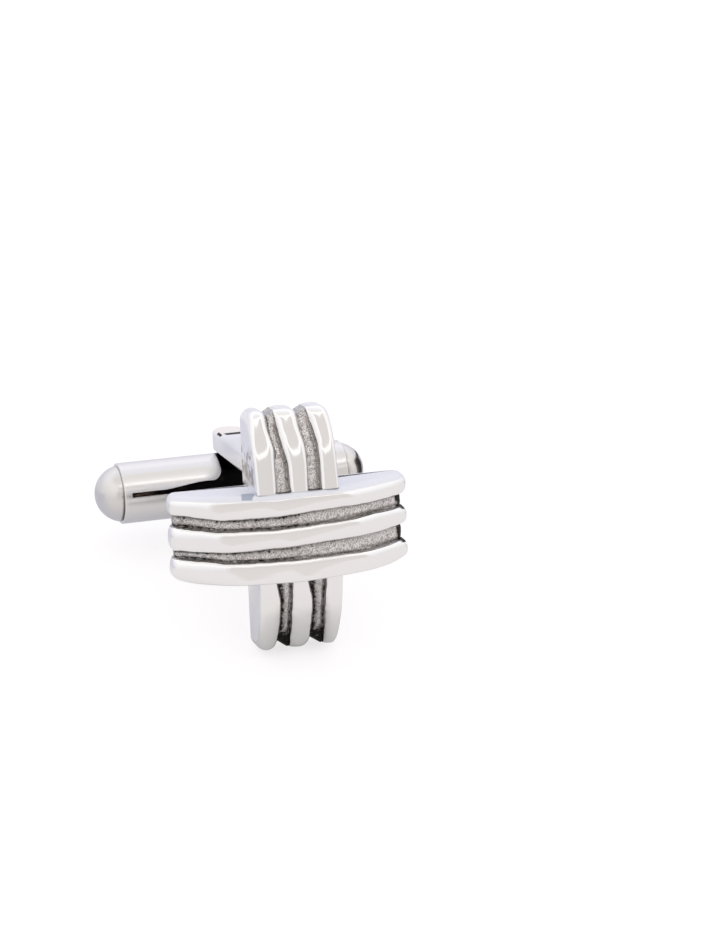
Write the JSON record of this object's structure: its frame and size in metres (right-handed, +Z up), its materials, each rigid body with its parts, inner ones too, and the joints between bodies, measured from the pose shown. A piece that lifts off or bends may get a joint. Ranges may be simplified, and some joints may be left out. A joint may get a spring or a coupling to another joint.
{
  "type": "cross cufflink",
  "caption": "Cross of two ribbed half-moon bars on two flat posts, with a swivelling bullet toggle that turns in line with the posts.",
  "frame": {"origin": "middle of the bottom of the cufflink's box, on the surface that it rests on", "axes": "+X to the right along the front bar, +Y from the face of the head back to the toggle, +Z up from the surface; the face looks to -Y and leans back"},
  "size_m": [0.0202, 0.0222, 0.0164],
  "materials": {
    "polished_steel": "mirror polished",
    "blackened_steel": "blackened, satin"
  },
  "bodies": {
    "head": {"cross_head": "polished_steel", "pivot_pin": "polished_steel"},
    "toggle": {"toggle_tube": "polished_steel", "toggle_cap_left": "polished_steel", "toggle_cap_right": "polished_steel", "toggle_leaf": "blackened_steel"}
  },
  "joints": [
    {"name": "toggle_swivel", "type": "hinge", "parent": "head", "child": "toggle", "pos_m": [0, 0.00869, 0.00404], "axis": [0, 0.2486, 0.9686], "range_deg": [-91.5, 88.5]}
  ]
}
